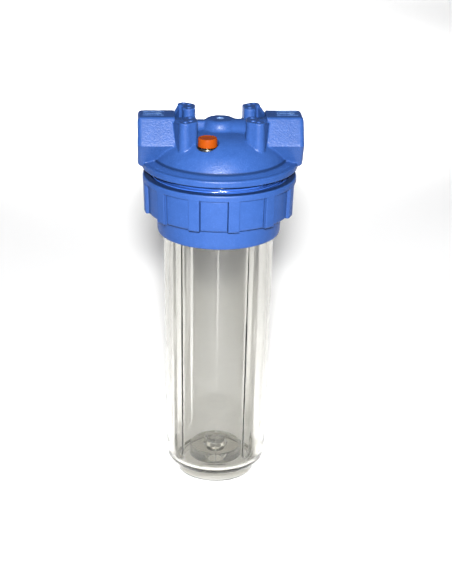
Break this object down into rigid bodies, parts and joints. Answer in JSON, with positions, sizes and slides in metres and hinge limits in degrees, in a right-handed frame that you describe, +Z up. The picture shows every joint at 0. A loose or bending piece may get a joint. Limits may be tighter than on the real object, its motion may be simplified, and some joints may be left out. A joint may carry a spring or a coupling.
{
  "type": "cartridge filter housing",
  "caption": "Upright water filter housing: threaded pipe head with bracket bosses and a push-button vent, ring nut and clear bowl for a standard cartridge.",
  "frame": {"origin": "centre of the bowl's foot ring, on the surface that the housing stands on", "axes": "+Z up along the axis of bowl and nut, +X towards the outlet port, -Y the front with the vent button"},
  "size_m": [0.134, 0.1274, 0.3205],
  "materials": {
    "blue_pp": "fine-grain moulded polypropylene, semi-gloss",
    "clear_san": "clear polished styrene-acrylonitrile, faintly smoky where thick",
    "orange_plastic": "satin moulded",
    "brass": "machined",
    "steel": "bright stainless",
    "rubber": "black nitrile",
    "slip_acetal": "natural acetal"
  },
  "bodies": {
    "head": {"head": "blue_pp", "inlet_insert": "brass", "outlet_insert": "brass", "vent_washer": "steel", "vent_grommet": "rubber", "vent_spring": "steel"},
    "bowl": {"bowl": "clear_san", "bowl_seal": "rubber", "slip_ring": "slip_acetal"},
    "ring_nut": {"ring_nut": "blue_pp"},
    "vent_plunger": {"vent_button": "orange_plastic", "vent_stem": "brass", "vent_poppet_seal": "rubber"}
  },
  "joints": [
    {"name": "bowl_drop", "type": "slide", "parent": "head", "child": "bowl", "axis": [0, 0, -1], "range_m": [0, 0.0151]},
    {"name": "ring_turn", "type": "hinge", "parent": "bowl", "child": "ring_nut", "pos_m": [0, 0, 0.255], "axis": [0, 0, -1], "range_deg": [0, 900]},
    {"name": "vent_press", "type": "slide", "parent": "head", "child": "vent_plunger", "axis": [0, 0, -1], "range_m": [0, 0.0025], "stiffness_N_per_m": 1500, "springref_m": -0.003, "deforming": ["vent_spring"]}
  ],
  "couplings": [
    {"joint": "bowl_drop", "follows": "ring_turn", "m_per_rad": 0.00095493}
  ]
}
